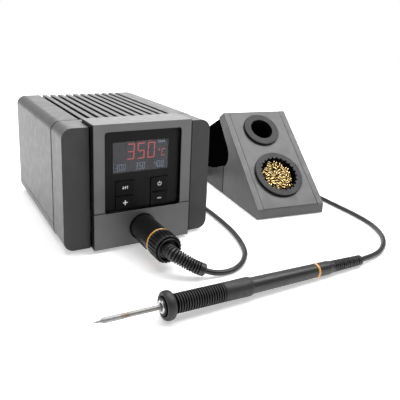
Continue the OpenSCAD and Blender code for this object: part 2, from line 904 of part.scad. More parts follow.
main_cover();
base_tray();
rear_panel();
front_bezel();
fascia_upper();
fascia_lower();
overlay_panel();
display_lens();
lcd_module();
key_set();
key_power();
key_plus();
key_minus();
control_board();
main_board();
board_standoffs();
heatsink();
capacitors();
transformer_core();
transformer_coil();
transformer_bracket();
power_inlet();
fuse_drawer();
fuse();
iron_socket();
socket_nut();
socket_leads();
mains_leads();
station_feet();
base_screws();
rear_screws();
plug_body();
plug_insert();
plug_latch();
plug_ring();
clamping_nut();
plug_boot();
cord_front();
cord_coil();
cord_rear();
tip();
heater_tube();
front_bushing();
grip();
handle_tube();
handle_ring();
end_cap();
iron_boot();
contact_block();
stand_shell();
slope_plate();
rear_shroud();
stand_rear();
holder_ring();
holder_tube();
cleaner_ring();
cleaner_cup();
brass_wool();
stand_base();
stand_feet();
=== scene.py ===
"""Soldering iron station: control unit, plug-in iron on its cord, and iron stand with a tip cleaner.

Lengths in this script are in millimetres, as in the CAD model, and become metres in build().
The set stands on z = 0, with +X to the right of the display and -Y in front of it.
"""
import json
import math
import random

import bmesh
import bpy
from mathutils import Matrix, Vector


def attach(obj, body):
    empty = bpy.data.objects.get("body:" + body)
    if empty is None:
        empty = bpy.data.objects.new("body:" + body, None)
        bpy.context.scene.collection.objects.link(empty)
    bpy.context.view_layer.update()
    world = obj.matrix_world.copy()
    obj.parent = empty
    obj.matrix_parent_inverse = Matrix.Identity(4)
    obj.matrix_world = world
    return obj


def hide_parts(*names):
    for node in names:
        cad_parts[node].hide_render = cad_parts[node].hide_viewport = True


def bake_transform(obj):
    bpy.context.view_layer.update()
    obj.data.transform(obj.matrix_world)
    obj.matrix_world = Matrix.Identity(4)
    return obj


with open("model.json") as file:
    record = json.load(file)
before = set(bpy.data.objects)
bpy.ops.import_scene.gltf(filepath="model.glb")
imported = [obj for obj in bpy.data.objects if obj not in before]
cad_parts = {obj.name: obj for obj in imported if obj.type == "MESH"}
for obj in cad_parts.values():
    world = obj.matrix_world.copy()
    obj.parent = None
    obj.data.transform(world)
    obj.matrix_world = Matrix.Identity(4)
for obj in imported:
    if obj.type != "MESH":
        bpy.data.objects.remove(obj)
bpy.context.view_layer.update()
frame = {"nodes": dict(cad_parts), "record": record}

MM = 0.001
NODES = frame["nodes"]
rng = random.Random(7)

# ---------- driving sizes, as in the CAD model ----------

UNIT_X, UNIT_Y = -65.0, -26.0        # middle of the control unit's front face
SOCKET_X, SOCKET_Z = UNIT_X - 0.8, 16.6   # iron socket, slightly left of the middle
IRON_AT = Vector((-93.2, -135.2, 9.38))
IRON_TILT, IRON_YAW = 1.65, 0.5      # degrees
STAND_X, STAND_Y, STAND_YAW = 87.5, -32.5, -7.4
LIP_H, SLOPE = 10.3, 41.9            # stand's front lip, slope in degrees
RING_X, CLEANER_S = -1.0, 35.4       # the cleaner, across the stand and along the slope
FRONT_Y, BLOCK_TOP = -7.2, 101.3     # front and top of the display's block, from the unit's face
CORD_D = 4.2
CORD_Z = CORD_D / 2

# ---------- local frames, each with its own axes in millimetres ----------

UNIT = Matrix.Translation((UNIT_X, UNIT_Y, 0))
SOCKET = Matrix.Translation((SOCKET_X, UNIT_Y, SOCKET_Z)) @ Matrix.Rotation(math.radians(90), 4, "X")
IRON = (Matrix.Translation(IRON_AT) @ Matrix.Rotation(math.radians(IRON_YAW), 4, "Z")
        @ Matrix.Rotation(math.radians(90 + IRON_TILT), 4, "Y"))
STAND = (Matrix.Translation((STAND_X, STAND_Y, 0))
         @ Matrix.Rotation(math.radians(STAND_YAW), 4, "Z"))


def on_slope(s):
    """The stand's sloping face at s mm up it: Z points out of the face."""
    a = math.radians(SLOPE)
    return (STAND @ Matrix.Translation((RING_X, s * math.cos(a), LIP_H + s * math.sin(a)))
            @ Matrix.Rotation(a, 4, "X"))


CLEANER = on_slope(CLEANER_S)

# ---------- camera, fitted to the photograph, in metres ----------

CAMERA_AT = Vector((-0.2153, -0.3763, 0.1751))
CAMERA_RIGHT = Vector((0.87664, -0.47973, 0.03699))
CAMERA_UP = Vector((0.08689, 0.23346, 0.96848))
LENS_MM, SENSOR_MM = 45.05, 36.0
SHIFT_X, SHIFT_Y = 0.0203, -0.1236


def make_camera():
    back = CAMERA_RIGHT.cross(CAMERA_UP)
    turn = Matrix((CAMERA_RIGHT, CAMERA_UP, back)).transposed().to_4x4()
    data = bpy.data.cameras.new("camera")
    data.sensor_width = SENSOR_MM
    data.lens = LENS_MM
    data.shift_x = SHIFT_X
    data.shift_y = SHIFT_Y
    data.clip_start = 0.01
    camera = bpy.data.objects.new("camera", data)
    camera.matrix_world = Matrix.Translation(CAMERA_AT) @ turn
    bpy.context.scene.collection.objects.link(camera)
    bpy.context.scene.camera = camera


make_camera()

# ---------- mesh helpers ----------


def build(name, points, faces, where=Matrix.Identity(4), smooth=True):
    """A mesh object from points in mm in the frame `where`."""
    mesh = bpy.data.meshes.new(name)
    mesh.from_pydata([(where @ Vector(p)) * MM for p in points], [], faces)
    mesh.update()
    obj = bpy.data.objects.new(name, mesh)
    bpy.context.scene.collection.objects.link(obj)
    bm = bmesh.new()
    bm.from_mesh(mesh)
    bmesh.ops.recalc_face_normals(bm, faces=bm.faces)
    bm.to_mesh(mesh)
    bm.free()
    for face in mesh.polygons:
        face.use_smooth = smooth
    return obj


def join_rings(rings, sides, closed=False):
    """Faces between rings of `sides` points each; closed joins the last ring to the first."""
    faces = []
    for k in range(rings if closed else rings - 1):
        a, b = k * sides, (k + 1) % rings * sides
        for i in range(sides):
            j = (i + 1) % sides
            faces.append((a + i, a + j, b + j, b + i))
    return faces


def circle(radius, s, sides):
    """Points round Z at the height s. radius is a function of the angle."""
    turns = [2 * math.pi * i / sides for i in range(sides)]
    return [(radius(a) * math.cos(a), radius(a) * math.sin(a), s) for a in turns]


def lathe(name, profile, where, sides=96):
    """Turns a ring's section, given as (distance along Z, radius), round Z."""
    points = []
    for s, r in profile:
        points += circle(lambda a: r, s, sides)
    return build(name, points, join_rings(len(profile), sides, True), where)


def bend(points, steps):
    """A smooth curve through points, with `steps` stretches between two of them."""
    out = []
    last = len(points) - 1
    for i in range(last):
        a, b = Vector(points[max(i - 1, 0)]), Vector(points[i])
        c, d = Vector(points[i + 1]), Vector(points[min(i + 2, last)])
        for k in range(steps):
            t = k / steps
            out.append(0.5 * (2 * b + (c - a) * t + (2 * a - 5 * b + 4 * c - d) * t * t
                              + (3 * b - a - 3 * c + d) * t ** 3))
    out.append(Vector(points[last]))
    return out


def travel(path):
    """Distance of each point of the path from its start."""
    far = [0.0]
    for a, b in zip(path, path[1:]):
        far.append(far[-1] + (b - a).length)
    return far


def resample(path, pitch):
    """Points along the path, pitch mm apart."""
    far = travel(path)
    count = max(2, int(far[-1] / pitch))
    out, k = [], 0
    for n in range(count + 1):
        s = far[-1] * n / count
        while k < len(far) - 2 and far[k + 1] < s:
            k += 1
        t = (s - far[k]) / max(far[k + 1] - far[k], 1e-9)
        out.append(path[k].lerp(path[k + 1], min(max(t, 0), 1)))
    return out


def sweep_points(path, radius, sides):
    """Rings of points round a path. radius is a function of (distance, angle)."""
    far = travel(path)
    points = []
    for k, p in enumerate(path):
        t = (path[min(k + 1, len(path) - 1)] - path[max(k - 1, 0)]).normalized()
        side = t.cross(Vector((0, 0, 1)))
        side = side.normalized() if side.length > 1e-6 else Vector((1, 0, 0))
        up = side.cross(t)
        for i in range(sides):
            a = 2 * math.pi * i / sides
            r = radius(far[k], a)
            points.append(p + side * (r * math.cos(a)) + up * (r * math.sin(a)))
    return points


def cap_ends(faces, rings, sides):
    """Adds a face over the first ring and one over the last."""
    first = tuple(range(sides))
    last = tuple((rings - 1) * sides + i for i in range(sides))
    return faces + [first[::-1], last]


def smoothstep(t):
    t = min(max(t, 0.0), 1.0)
    return t * t * (3 - 2 * t)


def blacken(obj, where, inside):
    """Gives the faces for which inside(distance along, radius) holds painted shade: the black of a deep
    gap.
    """
    back = where.inverted()
    obj.data.materials.append(MATERIALS["gap_black"])
    for face in obj.data.polygons:
        at = back @ (face.center / MM)
        if inside(at.z, math.hypot(at.x, at.y)):
            face.material_index = 1


def finish_piece(obj, material, slot, body, *nodes):
    """Gives a piece its material and body, and says which CAD nodes it replaces. slot is not used."""
    obj.data.materials.clear()
    obj.data.materials.append(material)
    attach(obj, body)
    if nodes:
        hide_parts(*nodes)
    return obj


# ---------- materials ----------


class Look:
    """A node material built round one Principled shader, in the object's own coordinates."""

    def __init__(self, name, color, roughness, **sockets):
        self.mat = bpy.data.materials.new(name)
        self.mat.use_nodes = True
        self.tree = self.mat.node_tree
        self.shader = self.tree.nodes["Principled BSDF"]
        self.shader.inputs["Roughness"].default_value = roughness
        for key, value in sockets.items():
            self.shader.inputs[key.replace("_", " ")].default_value = value
        self.color = color
        self.roughness = roughness
        self.where = self.node("ShaderNodeTexCoord").outputs["Object"]
        self.paint = self.rgb(color)

    def node(self, kind, **settings):
        n = self.tree.nodes.new(kind)
        for key, value in settings.items():
            setattr(n, key, value)
        return n

    def link(self, a, b):
        self.tree.links.new(a, b)

    def rgb(self, color):
        n = self.node("ShaderNodeRGB")
        n.outputs[0].default_value = (*color, 1)
        return n.outputs[0]

    def noise(self, size_mm, detail=3.0, stretch=(1, 1, 1)):
        mapping = self.node("ShaderNodeMapping")
        mapping.inputs["Scale"].default_value = stretch
        self.link(self.where, mapping.inputs["Vector"])
        n = self.node("ShaderNodeTexNoise")
        n.inputs["Scale"].default_value = 1 / (size_mm * MM)
        n.inputs["Detail"].default_value = detail
        self.link(mapping.outputs[0], n.inputs["Vector"])
        return n.outputs["Fac"]

    def spread(self, value, low, high, lo_in=0.3, hi_in=0.7):
        n = self.node("ShaderNodeMapRange")
        for key, number in (("From Min", lo_in), ("From Max", hi_in), ("To Min", low), ("To Max", high)):
            n.inputs[key].default_value = number
        self.link(value, n.inputs["Value"])
        return n.outputs[0]

    def mix(self, factor, a, b):
        n = self.node("ShaderNodeMix", data_type="RGBA")
        self.link(factor, n.inputs[0])
        self.link(a, n.inputs[6])
        self.link(b, n.inputs[7])
        return n.outputs[2]

    def tone(self, amount, size_mm, stretch=(1, 1, 1), detail=3.0):
        """Varies the colour by a share of itself, in patches of that size."""
        factor = self.spread(self.noise(size_mm, detail, stretch), 0, 1)
        lighter = self.rgb([c * (1 + amount) for c in self.color])
        darker = self.rgb([c * (1 - amount) for c in self.color])
        self.paint = self.mix(factor, darker, lighter)
        return self

    def matt(self, amount, size_mm, stretch=(1, 1, 1)):
        """Varies the roughness."""
        value = self.noise(size_mm, 4.0, stretch)
        out = self.spread(value, max(self.roughness - amount, 0.02), self.roughness + amount)
        self.link(out, self.shader.inputs["Roughness"])
        return self

    def grain(self, depth_mm, size_mm, stretch=(1, 1, 1), detail=3.0, strength=0.6):
        """A fine bump of that depth."""
        n = self.node("ShaderNodeBump")
        n.inputs["Strength"].default_value = strength
        n.inputs["Distance"].default_value = depth_mm * MM
        self.link(self.noise(size_mm, detail, stretch), n.inputs["Height"])
        self.link(n.outputs[0], self.shader.inputs["Normal"])
        return self

    def axis(self, name):
        n = self.node("ShaderNodeSeparateXYZ")
        self.link(self.where, n.inputs[0])
        return n.outputs[name]

    def between(self, value, low_mm, high_mm):
        """1 where value lies between the two, else 0."""
        above = self.node("ShaderNodeMath", operation="GREATER_THAN")
        self.link(value, above.inputs[0])
        above.inputs[1].default_value = low_mm * MM
        below = self.node("ShaderNodeMath", operation="LESS_THAN")
        self.link(value, below.inputs[0])
        below.inputs[1].default_value = high_mm * MM
        both = self.node("ShaderNodeMath", operation="MULTIPLY")
        self.link(above.outputs[0], both.inputs[0])
        self.link(below.outputs[0], both.inputs[1])
        return both.outputs[0]

    def along(self, direction):
        """Distance from the origin along a direction."""
        n = self.node("ShaderNodeVectorMath", operation="DOT_PRODUCT")
        self.link(self.where, n.inputs[0])
        n.inputs[1].default_value = direction
        return n.outputs["Value"]

    def from_line(self, x, z):
        """Distance from a line that runs along Y through x, z in mm."""
        move = self.node("ShaderNodeVectorMath", operation="SUBTRACT")
        self.link(self.where, move.inputs[0])
        move.inputs[1].default_value = (x * MM, 0, z * MM)
        flat = self.node("ShaderNodeVectorMath", operation="MULTIPLY")
        self.link(move.outputs[0], flat.inputs[0])
        flat.inputs[1].default_value = (1, 0, 1)
        far = self.node("ShaderNodeVectorMath", operation="LENGTH")
        self.link(flat.outputs[0], far.inputs[0])
        return far.outputs["Value"]

    def all_of(self, *masks):
        out = masks[0]
        for m in masks[1:]:
            n = self.node("ShaderNodeMath", operation="MULTIPLY")
            self.link(out, n.inputs[0])
            self.link(m, n.inputs[1])
            out = n.outputs[0]
        return out

    def patch(self, mask, color):
        """Another colour where the mask is 1."""
        self.paint = self.mix(mask, self.paint, self.rgb(color))
        return self

    def done(self):
        self.link(self.paint, self.shader.inputs["Base Color"])
        return self.mat


# Black for painted shade in slots, channels, recesses and down the rings' sides, and also for the block's
# seam and its black sides
SHADE_AND_TRIM_BLACK = (0.0035, 0.0035, 0.0037)
# For masks on the stand: the way out of its slope and its distance, the way across it and its middle
SLOPE_OUT = (on_slope(0).to_3x3() @ Vector((0, 0, 1))).normalized()
SLOPE_D = SLOPE_OUT.dot(on_slope(0).translation)
STAND_SIDE = (STAND.to_3x3() @ Vector((1, 0, 0))).normalized()
STAND_MID = STAND_SIDE.dot(STAND.translation)


def shell_paint():
    look = Look("shell_paint", (0.144, 0.144, 0.143), 0.42, Metallic=0.35)
    look.tone(0.07, 0.5).matt(0.06, 8).grain(0.012, 0.45)
    # Painted shade: the slots and grooves on top are painted black, for the shaded inside under them
    groove_shade = look.all_of(look.between(look.axis("Z"), 92.0, 98.45),
                          look.between(look.axis("X"), UNIT_X - 43, UNIT_X + 43))
    return look.patch(groove_shade, SHADE_AND_TRIM_BLACK).done()


def bezel_plastic():
    look = Look("bezel_plastic", (0.148, 0.148, 0.147), 0.42, Metallic=0.35)
    look.tone(0.07, 0.5).matt(0.06, 8).grain(0.012, 0.45)
    face = look.between(look.axis("Y"), UNIT_Y - 1, UNIT_Y + 0.35)
    look.patch(face, (0.038, 0.038, 0.040))
    # Painted shade: a black band on the dark face beside the block's right side, where the block shades it
    right_edge_shade = look.between(look.axis("X"), UNIT_X + 40.5, UNIT_X + 45.7)
    look.patch(look.all_of(face, right_edge_shade), SHADE_AND_TRIM_BLACK)
    # Painted shade: black on the floor of the channels beside the block
    channel_shade = look.all_of(look.between(look.axis("Y"), UNIT_Y + 0.36, UNIT_Y + 24),
                          look.between(look.axis("X"), UNIT_X - 41.6, UNIT_X + 41.6))
    return look.patch(channel_shade, SHADE_AND_TRIM_BLACK).done()


def fascia_paint():
    """Grey on its front, lighter on top by a painted highlight, black on its sides, and black in the
    window's recess as painted shade.
    """
    look = Look("fascia_paint", (0.130, 0.130, 0.132), 0.38, Metallic=0.4)
    look.tone(0.10, 0.45).matt(0.06, 6).grain(0.012, 0.4)
    # Black on every face behind the front: painted shade down the window's recess, and the block's black
    # sides
    below_top = look.between(look.axis("Z"), -1, BLOCK_TOP - 0.3)
    behind_front = look.between(look.axis("Y"), UNIT_Y + FRONT_Y + 0.5, UNIT_Y + 40)
    look.patch(look.all_of(below_top, behind_front), SHADE_AND_TRIM_BLACK)
    # Painted highlight: the top face is lighter than the front, as if lit from above
    top = look.between(look.axis("Z"), BLOCK_TOP - 0.25, BLOCK_TOP + 1)
    look.patch(top, (0.215, 0.215, 0.214))
    seam = look.between(look.axis("Z"), 31.7, 32.6)      # between the block's two halves
    look.patch(seam, SHADE_AND_TRIM_BLACK)
    for low_mm, high_mm in ((UNIT_X - 50, UNIT_X - 40.45), (UNIT_X + 40.45, UNIT_X + 50)):
        side = look.between(look.axis("X"), low_mm, high_mm)
        look.patch(look.all_of(below_top, side), SHADE_AND_TRIM_BLACK)
    return look.done()


def stand_paint(name="stand_paint", tint=0.092):
    """The seam beside the sloping face is a dark line on both sides."""
    look = Look(name, (tint, tint, tint * 1.01), 0.42, Metallic=0.35)
    look.tone(0.08, 0.5).matt(0.05, 7).grain(0.012, 0.45)
    line = look.between(look.along(SLOPE_OUT), SLOPE_D - 1.3, SLOPE_D - 0.55)
    across = look.along(STAND_SIDE)
    for low_mm, high_mm in ((STAND_MID - 60, STAND_MID - 35.6), (STAND_MID + 35.6, STAND_MID + 60)):
        look.patch(look.all_of(line, look.between(across, low_mm, high_mm)), (0.02, 0.02, 0.02))
    return look.done()


def gloss_black():
    look = Look("gloss_black", (0.0035, 0.0035, 0.0037), 0.36, Specular_IOR_Level=0.16)
    return look.tone(0.25, 0.8).matt(0.07, 5).grain(0.006, 0.6).done()


def key_black():
    look = Look("key_black", (0.0045, 0.0045, 0.0047), 0.45, Specular_IOR_Level=0.12)
    return look.tone(0.25, 0.7).matt(0.07, 4).grain(0.008, 0.5).done()


def display_glass():
    look = Look("display_glass", (0.80, 0.80, 0.81), 0.04, Transmission_Weight=1.0, IOR=1.25)
    return look.tone(0.02, 6).matt(0.02, 5).done()


def display_lit():
    look = Look("display_lit", (0.012, 0.012, 0.014), 0.6, Specular_IOR_Level=0.0)
    look.tone(0.12, 9)
    look.link(look.mix(look.spread(look.noise(14), 0, 1), look.rgb((0.044, 0.043, 0.049)),
                       look.rgb((0.056, 0.055, 0.062))), look.shader.inputs["Emission Color"])
    look.shader.inputs["Emission Strength"].default_value = 1.0
    return look.done()


def lit(name, color, strength):
    look = Look(name, color, 0.5)
    glow = look.mix(look.spread(look.noise(1.2), 0, 1), look.rgb([c * 0.85 for c in color]),
                    look.rgb(color))
    look.link(glow, look.shader.inputs["Emission Color"])
    look.shader.inputs["Emission Strength"].default_value = strength
    return look.tone(0.1, 1.5).done()


def print_ink(name, color):
    return Look(name, color, 0.55).tone(0.08, 0.6).grain(0.01, 0.3).done()


def circuit_board():
    look = Look("circuit_board", (0.022, 0.13, 0.055), 0.35)
    return look.tone(0.25, 3).matt(0.08, 2).grain(0.03, 1.2).done()


def bright_metal():
    look = Look("bright_metal", (0.60, 0.60, 0.61), 0.28, Metallic=1.0)
    return look.tone(0.08, 1.5).matt(0.1, 1.2).grain(0.01, 0.5).done()


def heatsink_metal():
    look = Look("heatsink_metal", (0.50, 0.51, 0.52), 0.38, Metallic=1.0)
    return look.tone(0.08, 2, (1, 1, 0.1)).matt(0.1, 1.5, (1, 1, 0.1)).grain(0.01, 0.5).done()


def capacitor_sleeve():
    look = Look("capacitor_sleeve", (0.02, 0.028, 0.075), 0.3)
    return look.tone(0.15, 2).matt(0.08, 1.5).grain(0.01, 0.8).done()


def core_steel():
    look = Look("core_steel", (0.16, 0.155, 0.15), 0.45, Metallic=0.9)
    return look.tone(0.3, 0.6, (1, 0.05, 0.05)).matt(0.1, 1).grain(0.05, 0.6, (1, 0.05, 0.05)).done()


def copper_winding():
    look = Look("copper_winding", (0.42, 0.17, 0.06), 0.4, Metallic=0.6)
    return look.tone(0.3, 0.8, (0.05, 0.05, 1)).matt(0.1, 1).grain(0.1, 0.8, (0.05, 0.05, 1)).done()


def black_plastic(name="black_plastic", tint=0.0125, roughness=0.40, shine=0.5):
    look = Look(name, (tint, tint, tint * 1.04), roughness, Specular_IOR_Level=shine)
    return look.tone(0.25, 0.8).matt(0.08, 3).grain(0.012, 0.35).done()


def lead_insulation():
    look = Look("lead_insulation", (0.30, 0.04, 0.025), 0.42)
    return look.tone(0.12, 2).matt(0.08, 1.5).grain(0.01, 0.6).done()


def black_rubber(name="black_rubber", tint=0.022, roughness=0.52):
    look = Look(name, (tint, tint, tint * 1.03), roughness)
    return look.tone(0.22, 1.1).matt(0.08, 2).grain(0.02, 0.3, strength=0.8).done()


def orange_plastic():
    look = Look("orange_plastic", (0.82, 0.42, 0.09), 0.20, Coat_Weight=0.8)
    return look.tone(0.08, 1.2).matt(0.06, 1).grain(0.006, 0.5).done()


def cord_rubber():
    look = Look("cord_rubber", (0.017, 0.017, 0.018), 0.34)
    return look.tone(0.15, 2.0).matt(0.08, 3).grain(0.015, 0.5).done()


def tip_plating():
    look = Look("tip_plating", (0.34, 0.34, 0.35), 0.40, Metallic=0.6, Specular_IOR_Level=0.2)
    look.tone(0.12, 1.2).matt(0.08, 0.8).grain(0.01, 0.4)
    heat = look.between(look.axis("X"), -123.6, -121.0)
    return look.patch(heat, (0.28, 0.25, 0.21)).done()


def heater_steel():
    look = Look("heater_steel", (0.29, 0.285, 0.27), 0.36, Metallic=0.6, Specular_IOR_Level=0.2)
    look.tone(0.08, 2).matt(0.05, 1.0).grain(0.006, 0.4)
    heat = look.between(look.axis("X"), -124.0, -118.6)
    return look.patch(heat, (0.25, 0.20, 0.15)).done()


def chrome_trim():
    look = Look("chrome_trim", (0.52, 0.52, 0.53), 0.14, Metallic=1.0)
    return look.tone(0.05, 1.5).matt(0.05, 1.0).grain(0.004, 0.4).done()


def handle_plastic():
    look = Look("handle_plastic", (0.025, 0.025, 0.027), 0.38)
    return look.tone(0.15, 1.0).matt(0.07, 3).grain(0.012, 0.35).done()


def cream_plastic():
    look = Look("cream_plastic", (0.56, 0.52, 0.42), 0.5)
    return look.tone(0.1, 2).matt(0.06, 2).grain(0.01, 0.5).done()


def ring_plastic():
    """Grey on top of the rings, and painted shade, black, down their sides."""
    look = Look("ring_plastic", (0.014, 0.014, 0.015), 0.42, Specular_IOR_Level=0.3)
    look.tone(0.14, 0.8).matt(0.06, 3).grain(0.015, 0.4)
    # Painted shade: black below the rings' top face
    sides = look.between(look.along(SLOPE_OUT), SLOPE_D - 30, SLOPE_D + 1.7)
    return look.patch(sides, SHADE_AND_TRIM_BLACK).done()


def brass_curls():
    """Pale on the outside of the tangle, with painted shade, dark brown, down in its gaps."""
    look = Look("brass_curls", (0.95, 0.74, 0.36), 0.22, Metallic=1.0)
    look.tone(0.2, 2.2)
    # Painted shade: the lower a strand lies, the darker brown it gets
    depth = look.spread(look.along(SLOPE_OUT), 0, 1, (SLOPE_D - 3.0) * MM, (SLOPE_D + 1.4) * MM)
    look.paint = look.mix(depth, look.rgb((0.26, 0.14, 0.035)), look.paint)
    return look.matt(0.08, 0.6).grain(0.02, 0.25).done()


def plug_paint():
    """Painted shade: black in the latch's slot, under the plug's skin."""
    look = Look("plug_paint", (0.0085, 0.0085, 0.0088), 0.36)
    look.tone(0.25, 0.8).matt(0.08, 3).grain(0.012, 0.35)
    return look.patch(look.between(look.from_line(SOCKET_X, SOCKET_Z), 0, 10.2), SHADE_AND_TRIM_BLACK).done()


# Painted shade: the black given to deep gaps, rib grooves and holes
def gap_black():
    look = Look("gap_black", (0.0022, 0.0022, 0.0023), 0.75, Specular_IOR_Level=0.05)
    return look.tone(0.2, 0.8).grain(0.01, 0.4).done()


def base_steel():
    look = Look("base_steel", (0.06, 0.06, 0.062), 0.45, Metallic=0.2)
    return look.tone(0.15, 1.2).matt(0.06, 3).grain(0.02, 0.5).done()


MATERIALS = {
    "shell_paint": shell_paint(), "bezel_plastic": bezel_plastic(), "fascia_paint": fascia_paint(),
    "gloss_black": gloss_black(), "display_glass": display_glass(), "display_lit": display_lit(),
    "circuit_board": circuit_board(), "bright_metal": bright_metal(),
    "heatsink_metal": heatsink_metal(), "capacitor_sleeve": capacitor_sleeve(),
    "core_steel": core_steel(), "copper_winding": copper_winding(),
    "black_plastic": black_plastic(), "lead_insulation": lead_insulation(),
    "black_rubber": black_rubber(), "orange_plastic": orange_plastic(),
    "cord_rubber": cord_rubber(), "tip_plating": tip_plating(), "heater_steel": heater_steel(),
    "chrome_trim": chrome_trim(), "handle_plastic": handle_plastic(),
    "cream_plastic": cream_plastic(), "stand_paint": stand_paint(),
    "gap_black": gap_black(), "ring_plastic": ring_plastic(), "brass_curls": brass_curls(),
    "base_steel": base_steel(),
}
SLOT_OF = {part["node"]: part["material_slot"] for part in frame["record"]["subparts"]}
OTHER_LOOK = {
    "key_set": key_black(), "key_power": "key_set", "key_plus": "key_set", "key_minus": "key_set",
    "rear_panel": black_plastic("rear_panel_black", 0.035, 0.45),
    "rear_shroud": black_plastic("shroud_black", 0.0016, 0.7, 0.0),
    "plug_body": plug_paint(),
    "stand_rear": stand_paint("stand_rear_paint", 0.030),
    "iron_socket": black_plastic("socket_black", 0.003, 0.6, 0.1),
    "holder_tube": black_plastic("tube_black", 0.004, 0.6, 0.2),
    "cleaner_cup": black_plastic("cup_black", 0.006, 0.55, 0.2),
}


def dress_cad_nodes():
    """Gives every carried-over CAD node its procedural material."""
    for name, obj in NODES.items():
        look = OTHER_LOOK.get(name, MATERIALS[SLOT_OF[name]])
        if isinstance(look, str):
            look = OTHER_LOOK[look]
        for slot in obj.material_slots:
            slot.material = look


dress_cad_nodes()

# ---------- cord, the first piece ----------

# The route from the iron's boot to the coil, and from the coil to the plug's boot
IRON_ROUTE = [(71.2, -133.8, 4.6), (88, -130.4, 3), (103, -125.4, CORD_Z), (118, -116, CORD_Z),
              (131, -102, CORD_Z), (141, -82, CORD_Z), (145.6, -58, CORD_Z), (147.1, -34, CORD_Z),
              (148.5, -8, CORD_Z), (152, 20, CORD_Z), (154, 48, CORD_Z), (154, 76, CORD_Z),
              (149, 104, CORD_Z), (138, 128, CORD_Z), (122, 148, CORD_Z), (104, 162, 3.4),
              (84, 171, 6.2), (66, 174, 9.4)]
PLUG_ROUTE = [(20.5, 132, CORD_Z), (20.5, 106, CORD_Z), (20.5, 80, CORD_Z), (20.5, 54, CORD_Z),
              (20.5, 28, CORD_Z), (19.6, 4, CORD_Z), (17.6, -20, CORD_Z), (14, -44, CORD_Z),
              (8.2, -65, CORD_Z), (1.2, -81, CORD_Z), (-6.5, -91, CORD_Z), (-14, -97.6, CORD_Z),
              (-22, -101.8, CORD_Z), (-29, -103, CORD_Z), (-35.5, -103.2, 2.8),
              (-41.5, -102.4, 4), (-47, -100.7, 6)]
COIL_X, COIL_Y, COIL_R = 50.5, 146.0, 30.0
COIL_TURNS = 2.25
COIL_STEPS = 24                      # points in a turn


def coil_height(turn):
    """Middle of the cord after that many turns: each turn climbs onto the one below."""
    layer = math.floor(turn)
    return CORD_Z + CORD_D * (layer + smoothstep((turn - layer - 0.62) / 0.36))


def coil_points():
    """From the coil's top end, where it leaves to the right, down to its foot on the left."""
    count = int(COIL_TURNS * COIL_STEPS)
    out = []
    for k in range(count, -1, -1):
        turn = k / COIL_STEPS
        a = math.pi - 2 * math.pi * turn
        out.append((COIL_X + COIL_R * math.cos(a), COIL_Y + COIL_R * math.sin(a), coil_height(turn)))
    return out


def iron_cord():
    start = Vector(IRON_ROUTE[0]) + Vector((-3, -0.1, 0.2))
    end = Vector(PLUG_ROUTE[-1]) + Vector((-3.5, 1.6, 1.8))
    route = [start] + IRON_ROUTE + coil_points() + PLUG_ROUTE + [end]
    path = resample(bend(route, 8), 1.5)
    sides = 20
    points = sweep_points(path, lambda s, a: CORD_D / 2, sides)
    faces = cap_ends(join_rings(len(path), sides), len(path), sides)
    obj = build("iron_cord", points, faces)
    obj.data.materials.append(MATERIALS["cord_rubber"])
    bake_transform(obj)
    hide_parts("cord_front", "cord_coil", "cord_rear")
    return obj, [p * MM for p in path], travel(path)[-1] * MM


cord, cord_path, cord_length = iron_cord()

# ---------- plug: ribbed boot and fluted nut ----------

BOOT_ROUTE = [(-65.8, -79, 16.6), (-65.8, -83, 16.6), (-64.8, -88, 15.8), (-60.4, -93, 13.2),
              (-54, -97.5, 9.4), (-47, -100.7, 6)]
BOOT_RUBBER = black_rubber("boot_rubber", 0.028, 0.38)
BOOT_STEP = 0.12                     # distance in mm between the rings of points on both boots


def rib(phase, width, edge):
    """1 on a rib, 0 in the gap beside it, with rounded shoulders. phase runs 0 to 1 per rib."""
    off = abs(phase - 0.5)
    return smoothstep((width / 2 - off) / edge + 0.5)


def plug_boot():
    """Strain relief of close rings, with a plain collar where the cord comes out."""
    pitch, depth, collar = 1.9, 1.0, 4.2
    rib_w, rib_edge = 0.64, 0.16         # shares of the pitch
    path = resample(bend(BOOT_ROUTE, 12), BOOT_STEP)
    length = travel(path)[-1]

    def radius(s, a):
        outer = 5.35 - 0.7 * s / length
        if s > length - collar:
            return outer - 0.7 * smoothstep((s - length + 0.6) / 0.6)
        return outer - depth * (1 - rib(s / pitch % 1, rib_w, rib_edge))

    sides = 48
    rings = sweep_points(path, radius, sides)
    t = (path[-1] - path[-3]).normalized()
    side = t.cross(Vector((0, 0, 1))).normalized()
    up = side.cross(t)
    mouth = ((path[-1], 2.9), (path[-8], 2.7))           # middle and radius of the hole's two rings
    for centre, r in mouth:
        rings += [centre + side * x + up * y for x, y, _ in circle(lambda a: r, 0, sides)]
    count = len(path) + len(mouth)
    faces = cap_ends(join_rings(count, sides), count, sides)
    obj = build("plug_boot_ribbed", rings, faces)
    finish_piece(obj, BOOT_RUBBER, "black_rubber", "root", "plug_boot")
    # Painted shade: black in the gaps between the ribs
    obj.data.materials.append(MATERIALS["gap_black"])
    for face in obj.data.polygons:
        ring = min(face.vertices) // sides
        s = ring * BOOT_STEP
        if s < length - collar and rib(s / pitch % 1, rib_w, rib_edge) < 0.3:
            face.material_index = 1
    return obj


